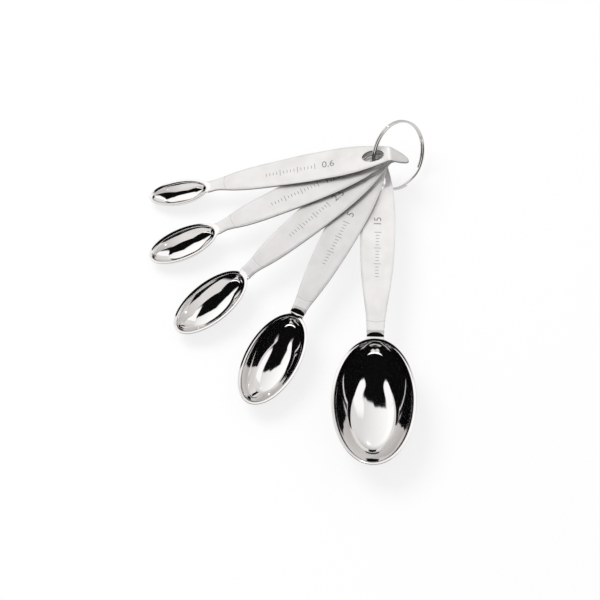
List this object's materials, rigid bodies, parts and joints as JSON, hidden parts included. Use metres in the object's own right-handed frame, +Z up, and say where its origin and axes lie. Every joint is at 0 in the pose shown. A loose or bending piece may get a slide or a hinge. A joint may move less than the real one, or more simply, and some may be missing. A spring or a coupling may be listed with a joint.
{
  "type": "measuring spoon set",
  "caption": "Polished steel measuring spoons with oval bowls and leaf-shaped handles, threaded on a split ring and fanned out on a flat surface.",
  "frame": {"origin": "middle of the underside of the tablespoon's bowl, on the surface that the set lies on", "axes": "+Z up, +Y along the tablespoon's handle towards its tip, with the smaller spoons fanned out towards -X"},
  "size_m": [0.1169, 0.1571, 0.0288],
  "materials": {
    "spoon_steel": "satin handle, mirror polished bowl",
    "ring_steel": "bright polished"
  },
  "bodies": {
    "tablespoon": {"tablespoon": "spoon_steel"},
    "teaspoon": {"teaspoon": "spoon_steel"},
    "half_teaspoon": {"half_teaspoon": "spoon_steel"},
    "quarter_teaspoon": {"quarter_teaspoon": "spoon_steel"},
    "eighth_teaspoon": {"eighth_teaspoon": "spoon_steel"},
    "split_ring": {"split_ring": "ring_steel"}
  },
  "joints": [
    {"name": "teaspoon_swing", "type": "hinge", "parent": "tablespoon", "child": "teaspoon", "pos_m": [-0.0029, 0.1092, 0.01868], "axis": [0, 0, -1], "range_deg": [0, 10]},
    {"name": "half_teaspoon_swing", "type": "hinge", "parent": "teaspoon", "child": "half_teaspoon", "pos_m": [-0.0029, 0.1092, 0.02066], "axis": [0, 0, -1], "range_deg": [0, 20]},
    {"name": "quarter_teaspoon_swing", "type": "hinge", "parent": "half_teaspoon", "child": "quarter_teaspoon", "pos_m": [-0.0029, 0.1092, 0.02234], "axis": [0, 0, -1], "range_deg": [0, 9]},
    {"name": "eighth_teaspoon_swing", "type": "hinge", "parent": "quarter_teaspoon", "child": "eighth_teaspoon", "pos_m": [-0.0029, 0.1092, 0.02404], "axis": [0, 0, -1], "range_deg": [0, 20]},
    {"name": "ring_turn", "type": "hinge", "parent": "tablespoon", "child": "split_ring", "pos_m": [0.00799, 0.11569, 0.01551], "axis": [0.6919, -0.5045, 0.5165], "continuous": true}
  ]
}
